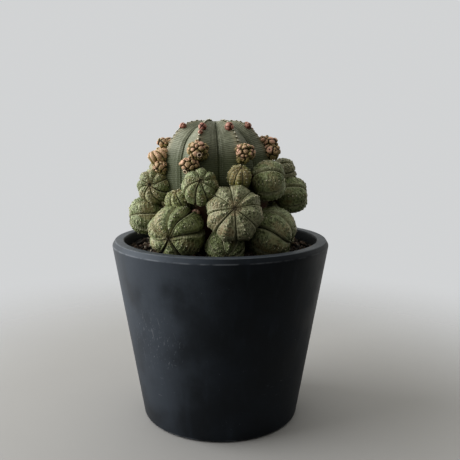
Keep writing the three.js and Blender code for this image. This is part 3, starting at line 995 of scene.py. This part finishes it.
def offsetMaterial():
    skin = newSkin("offsetSkin", offsetSkin)
    across, run, down, tint = skin.mark("across"), skin.mark("run"), skin.mark("down"), skin.mark("blush")
    cloudy = skin.noise(5 * mm)
    mottle = skin.noise(1.3 * mm, rough=0.65)
    fine = skin.noise(0.45 * mm, detail=3.0)
    skin.base(skin.between(cloudy, 0.32, 0.68), "leaf", "pale")
    skin.wash("yellow", tint, 0.0, 1.0)
    skin.wash("brown", tint, 0.0, -1.0, 0.0, 0.9)
    skin.wash("dark", mottle, 0.46, 0.66, 0.0, 0.78)
    # fine cross bands that bow over each rib
    bands = skin.maths("MULTIPLY_ADD", run, 2 * math.pi / offsetSkin["bandStep"], skin.times(cloudy, 9.0))
    bowed = skin.times(skin.maths("POWER", across, 2.0), -2.4)
    bands = skin.maths("SINE", skin.maths("ADD", bands, bowed))
    skin.wash("dark", bands, 0.0, 1.0, 0.0, 0.34)
    warm = skin.noise(9 * mm, detail=3.0)
    skin.coat(skin.times(skin.between(warm, 0.5, 0.64), 0.5), "tan")
    # a net of pale veins round darker hollows, stronger in some places than in others
    net = skin.cells(1.5 * mm, 0.8 * mm)
    patchy = skin.between(skin.noise(4 * mm, detail=2.0), 0.38, 0.6, 0.25, 1.0)
    patchy = skin.times(patchy, skin.between(tint, 0.3, 0.9, 1.0, 0.25))  # young ones are smoother
    vein = skin.times(skin.between(net, 0.03, 0.15, 1.0, 0.0), patchy)
    hollow = skin.times(skin.between(net, 0.15, 0.34), patchy)
    skin.coat(skin.times(hollow, 0.55), "dark")
    skin.coat(skin.times(vein, 0.5), "pale")
    # a dark well with a pale collar on each knob of the keels
    wave = skin.maths("COSINE", skin.times(skin.mark("beat"), 2 * math.pi))
    wave = skin.times(wave, skin.between(tint, 0.3, 0.9, 1.0, 0.4))
    collar = skin.times(skin.between(wave, -0.2, 0.4), skin.between(across, 0.40, 0.24))
    well = skin.times(skin.between(wave, 0.55, 0.9), skin.between(across, 0.2, 0.1))
    skin.coat(skin.times(collar, 0.45), "pale")
    skin.coat(skin.times(well, 0.6), "dark")
    # pale lips beside the creases, painted as a highlight on their rolled edges, painted shade down the
    # creases, a tan tip with a dark heart, and a corky foot
    lipHighlight = skin.times(skin.between(across, 0.72, 0.84), skin.between(mottle, 0.35, 0.6, 0.95, 0.45))
    skin.coat(lipHighlight, "lip")
    skin.wash("dark", across, 0.945, 0.995, 0.0, 0.93)
    skin.wash("tan", down, 0.08, 0.04, 0.0, 0.25)
    skin.wash("heart", down, 0.032, 0.012, 0.0, 0.9)
    ragged = skin.maths("MULTIPLY_ADD", skin.noise(2 * mm), 0.2, down)
    skin.wash("cork", ragged, 0.88, 1.0)
    skin.coat(skin.mark("tone"), "scar")
    skin.relief(fine, 0.07 * mm, strength=0.7)
    skin.relief(mottle, 0.2 * mm, strength=0.8)
    skin.relief(bands, 0.05 * mm, strength=0.7)
    skin.relief(skin.maths("SUBTRACT", vein, hollow), 0.16 * mm)
    skin.relief(skin.maths("SUBTRACT", collar, skin.times(well, 1.6)), 0.25 * mm)
    return skin.finish(skin.between(mottle, 0.3, 0.7, 0.42, 0.6), specular=0.4)


def addNeck(heap, start, turn, radius, rng):
    # the short corky neck between an offset or a knot and the rib that it grows from
    end = aroundStem(turn, ridgeRadius(start[2]) - neck["root"], start[2])
    length = np.linalg.norm(end - start)
    share = np.linspace(0, 1, 10)[:, None]
    around = roundTurn(24)
    waist = 1 - 0.22 * np.sin(share * math.pi)
    wavy = 1 + 0.06 * np.sin(5 * around + rng.uniform(0, 6))
    rings = onCircle(radius * neck["share"] * waist * wavy, around, (1 - share) * length)
    points, faces = closedSkin(rings, (0, 0, length), (0, 0, 0))
    heap.add(turnTo(points, (start - end) / length) + end, faces, across=0.5, run=3, down=0.98)


def makeOffset(name, spec, material):
    turn, rise, out, radius, face, lift, extra = spec
    look = {**usualOffset, **extra}
    if "creases" in look:
        look["ribs"] = len(look["creases"])
    rng = random.Random(name)
    height = soilLevel + rise * stemHeight
    centre = aroundStem(turn, ridgeRadius(height) + out * mm, height)
    radius *= mm
    tip = direction(face, lift)
    puff = look["puff"]

    def meridian(polar):
        level = np.cos(polar)
        return radius * np.sin(polar) ** 0.86, radius * look["tall"] * np.sign(level) * np.abs(level) ** 0.95

    look.update({
        "columnsPerRib": 24, "rows": 100, "uneven": 0.14,
        "pillow": radius * (0.075 + 0.085 * puff + 0.04 * look["ridge"]),
        "power": 1.4 + 2.2 * puff - 0.35 * look["ridge"],
        "crease": radius * (0.055 + 0.05 * puff), "creaseWidth": 0.07 + 0.02 * puff,
        "lip": radius * (0.018 + 0.014 * puff), "keel": radius * (0.014 - 0.008 * puff),
        "knob": radius * 0.014 + 0.08 * mm, "knobStep": (1.3 + radius / mm * 0.06) * mm,
        "foldStep": (1.0 + radius / mm * 0.02) * mm, "foldDepth": radius * 0.009,
        "lump": radius * 0.018, "lumpSize": radius * 0.7,
        "dimple": radius * 0.13, "dimpleWidth": 0.42,
        "scar": 0.27 * mm, "scarStart": radius * 0.3, "scarEnd": 0.72, "scarMiss": 0.3,
    })
    points, faces, marks, rings, run, phase = ribbedSkin(meridian, look, rng)
    squeeze = np.array([1 + rng.uniform(-0.03, 0.03), 1 + rng.uniform(-0.03, 0.03), 1])
    spin = math.radians(look["spin"])

    def place(given):
        return turnTo(given * squeeze, tip, spin)

    tint = look["tint"] + 0.15 * ripple(points, rng, radius)
    heap = Heap()
    heap.add(place(points) + centre, faces, **marks, blush=np.clip(tint, -1, 1))
    scars(heap, rings, look["columnsPerRib"], run, phase, look, rng, centre, place)
    addNeck(heap, centre, turn, radius, rng)
    heap.build(name.replace("_pup", "_offset"), material, name)


def makeOffsets():
    material = offsetMaterial()
    for name, spec in offsets.items():
        makeOffset(name, spec, material)


makeOffsets()
print("offsets grown")

# the knots of tiny offsets and spent flowers, and the pink buds on the crown
knotSkin = {
    "skin": (0.43, 0.325, 0.170),
    "tip": (0.76, 0.455, 0.340),
    "green": (0.235, 0.215, 0.070),
    # painted shade in the cracks and pits
    "crack": (0.028, 0.014, 0.007),
    "cup": (0.70, 0.58, 0.42),
}

# turn, rise, out and radius (mm), face, lift, bumps (0 for a ribbed cap), then cups as (face, lift)
knots = {
    "front_right_knot": (28.5, 0.737, 2.6, 4.5, 24, 50, 44, ()),
    "front_left_knot_upper": (-16.5, 0.756, 1.4, 4.8, -10, 20, 40, ((10, -20),)),
    "front_left_knot_lower": (-24, 0.653, 1.6, 4.3, -34, 8, 34, ((-30, -35),)),
    "left_front_knot_upper": (-71, 0.708, 1.9, 5.1, -80, 72, 0, ()),
    "left_front_knot_lower": (-63, 0.63, 2, 3.5, -60, -6, 20, ()),
    "left_front_knot_top": (-78, 0.804, 1.6, 2.9, -80, 40, 12, ()),
    "right_front_knot_upper": (80, 0.797, 2.5, 3.8, 80, 42, 20, ()),
    "right_front_knot_lower": (77, 0.737, 2.3, 4.2, 74, 4, 18, ()),
    "right_front_knot_top": (73, 0.831, 0.6, 1.8, 74, 60, 8, ()),
    "right_back_knot": (116, 0.741, 1.8, 4, 118, 20, 22, ((120, 0),)),
    "back_right_knot_upper": (159, 0.788, 1.5, 3.6, 158, 30, 18, ()),
    "back_right_knot_lower": (164, 0.709, 2, 4.3, 172, 10, 24, ((170, -5),)),
    "back_left_knot": (-156, 0.746, 1.8, 4.4, -150, 24, 28, ()),
    "left_back_knot_upper": (-113, 0.788, 1.4, 3.4, -112, 32, 16, ()),
    "left_back_knot_lower": (-108, 0.709, 2, 4.2, -104, 8, 22, ((-105, -10),)),
}
ribbedCap = {"ribs": 10, "wide": 1.12, "tall": 0.82}
budSkin = {**knotSkin, "skin": (0.50, 0.25, 0.185), "green": (0.30, 0.10, 0.07), "tip": (0.70, 0.43, 0.34)}

# turn, reach from the stem's axis (mm), radius (mm), whether a smaller bud hangs below it
buds = {
    "front_left_bud": (-19, 17.5, 1.9, True),
    "front_right_bud": (21.5, 17.5, 2.1, False),
    "right_front_bud": (66, 16.8, 1.6, False),
    "right_back_bud": (113, 16.4, 1.9, True),
    "back_right_bud": (159, 17, 1.8, False),
    "back_left_bud": (-156, 16.2, 2, True),
    "left_back_bud": (-111, 17, 1.7, False),
    "left_front_bud": (-63, 16.8, 1.6, False),
}
budRise = 0.35 * mm
knotCrumbs = 5  # small balls round each knot's foot


def knotMaterial(name, colours):
    skin = newSkin(name, colours)
    under, fromPeak, shade = skin.mark("run"), skin.mark("down"), skin.mark("tone")
    fine = skin.noise(0.5 * mm)
    cloudy = skin.noise(2.5 * mm, detail=3.0)
    skin.base(skin.maths("MAXIMUM", skin.between(cloudy, 0.4, 0.6, 0.0, 0.85), under), "skin", "green")
    # warm pink tips, fewer of them on the underside
    tipped = skin.times(skin.between(fromPeak, 0.95, 0.2), skin.between(shade, 0.1, 0.9, 0.35, 1.0))
    skin.coat(skin.times(tipped, skin.maths("SUBTRACT", 1.0, skin.times(under, 0.75))), "tip")
    # dark specks over the skin, then painted shade in the cracks between bumps and in their pits
    skin.wash("crack", fine, 0.48, 0.7, 0.0, 0.45)
    skin.wash("crack", skin.mark("across"), 0.3, 0.9, 0.0, 0.95)
    skin.coat(skin.mark("blush"), "cup")
    skin.relief(fine, 0.12 * mm)
    return skin.finish(skin.between(fine, 0.3, 0.7, 0.5, 0.7), specular=0.35)


def ringCup(heap, centre, outward, size):
    # an open flower cup: a raised ring round a sunken well with a small middle, both painted dark as shade
    rows, columns = 10, 24
    tube = 0.32 * size
    polar = roundTurn(rows)[:, None]
    ring = onCircle(size + tube * np.cos(polar), roundTurn(columns), tube * np.sin(polar))
    heap.add(turnTo(ring.reshape(-1, 3), outward) + centre, hoopFaces(rows, columns), blush=0.85, tone=0.5)
    bead(heap, centre - outward * 0.25 * size, outward, 1.75 * size, flat=0.3, columns=20, across=1)
    bead(heap, centre, outward, 0.28 * size, flat=0.7, columns=12, across=1)


def ribbedKnot(radius, rng):
    # an older knot that has swollen into a squat ribbed cap
    def meridian(polar):
        return ribbedCap["wide"] * radius * np.sin(polar) ** 0.8, ribbedCap["tall"] * radius * np.cos(polar)

    look = {
        "ribs": ribbedCap["ribs"], "columnsPerRib": 18, "rows": 60, "uneven": 0.15,
        "pillow": 0.17 * radius, "power": 2.4, "crease": 0.1 * radius, "creaseWidth": 0.14,
        "lip": 0, "keel": 0, "knob": 0.03 * radius, "knobStep": 0.5 * radius,
        "foldStep": 0.24 * radius, "foldDepth": 0.02 * radius,
        "lump": 0.03 * radius, "lumpSize": 0.8 * radius,
        "dimple": 0.22 * radius, "dimpleWidth": 0.4, "curl": 0.5,
    }
    points, faces, marks = ribbedSkin(meridian, look, rng)[:3]
    # across to the sixth power marks painted shade in the grooves between the cap's ribs
    return points, faces, {"across": marks["across"] ** 6, "down": 0.3 + 0.6 * marks["across"], "tone": 0.45}


def makeKnots():
    material = knotMaterial("knotSkin", knotSkin)
    for name, (turn, rise, out, radius, face, lift, bumps, cups) in knots.items():
        rng = random.Random(name)
        height = soilLevel + rise * stemHeight
        ridge = ridgeRadius(height)
        centre = aroundStem(turn, ridge + out * mm, height)
        radius *= mm
        points, faces, marks = bumpySkin(radius, bumps, 0.4, rng) if bumps else ribbedKnot(radius, rng)
        points = turnTo(points, direction(face, lift))
        under = smooth(0.05, -0.75, points[:, 2] / radius)
        narrowed = 1 - 0.22 * under
        points = points * np.stack([narrowed, narrowed, 0.96 + 0 * under], axis=1)
        heap = Heap()
        heap.add(points + centre, faces, run=under, **marks)
        # smaller balls crowd round the foot of the knot
        for _ in range(knotCrumbs):
            spin = rng.uniform(0, 2 * math.pi)
            small = rng.uniform(0.2, 0.32) * radius
            swing = math.degrees(math.cos(spin) * 0.75 * radius / ridge)
            aside = aroundStem(turn + swing, ridge + small, height + math.sin(spin) * 0.85 * radius)
            points, faces, marks = bumpySkin(small, 6, 0.25, rng, rows=14, columns=20)
            heap.add(points + aside, faces, run=float(aside[2] < height), **marks)
        for cupFace, cupLift in cups:
            outward = direction(cupFace, cupLift)
            ringCup(heap, centre + outward * radius * 0.95, outward, 0.85 * mm)
        addNeck(heap, centre, turn, radius, rng)
        heap.build(name + "_bumps", material, name)


def makeBuds():
    material = knotMaterial("budSkin", budSkin)
    for name, (turn, reach, radius, paired) in buds.items():
        rng = random.Random(name)
        radius *= mm
        reach *= mm
        centre = aroundStem(turn, reach, shoulderHeight(reach) + budRise)
        outward = direction(turn, 52)
        heap = Heap()
        points, faces, marks = bumpySkin(radius, 9, 0.22, rng, rows=36, columns=48)
        points = turnTo(points, outward)
        heap.add(points + centre, faces, run=smooth(0.3, -0.7, points[:, 2] / radius), **marks)
        # a smaller, older bud just below it on the same ridge
        lower = reach + radius * 1.35
        if paired:
            small = aroundStem(turn, lower, shoulderHeight(lower) + budRise)
            points, faces, marks = bumpySkin(radius * 0.62, 7, 0.22, rng, rows=24, columns=36)
            heap.add(turnTo(points, outward) + small, faces, **marks)
        heap.build(name + "_berry", material, name)


makeKnots()
makeBuds()
print("knots and buds grown")

print("done")
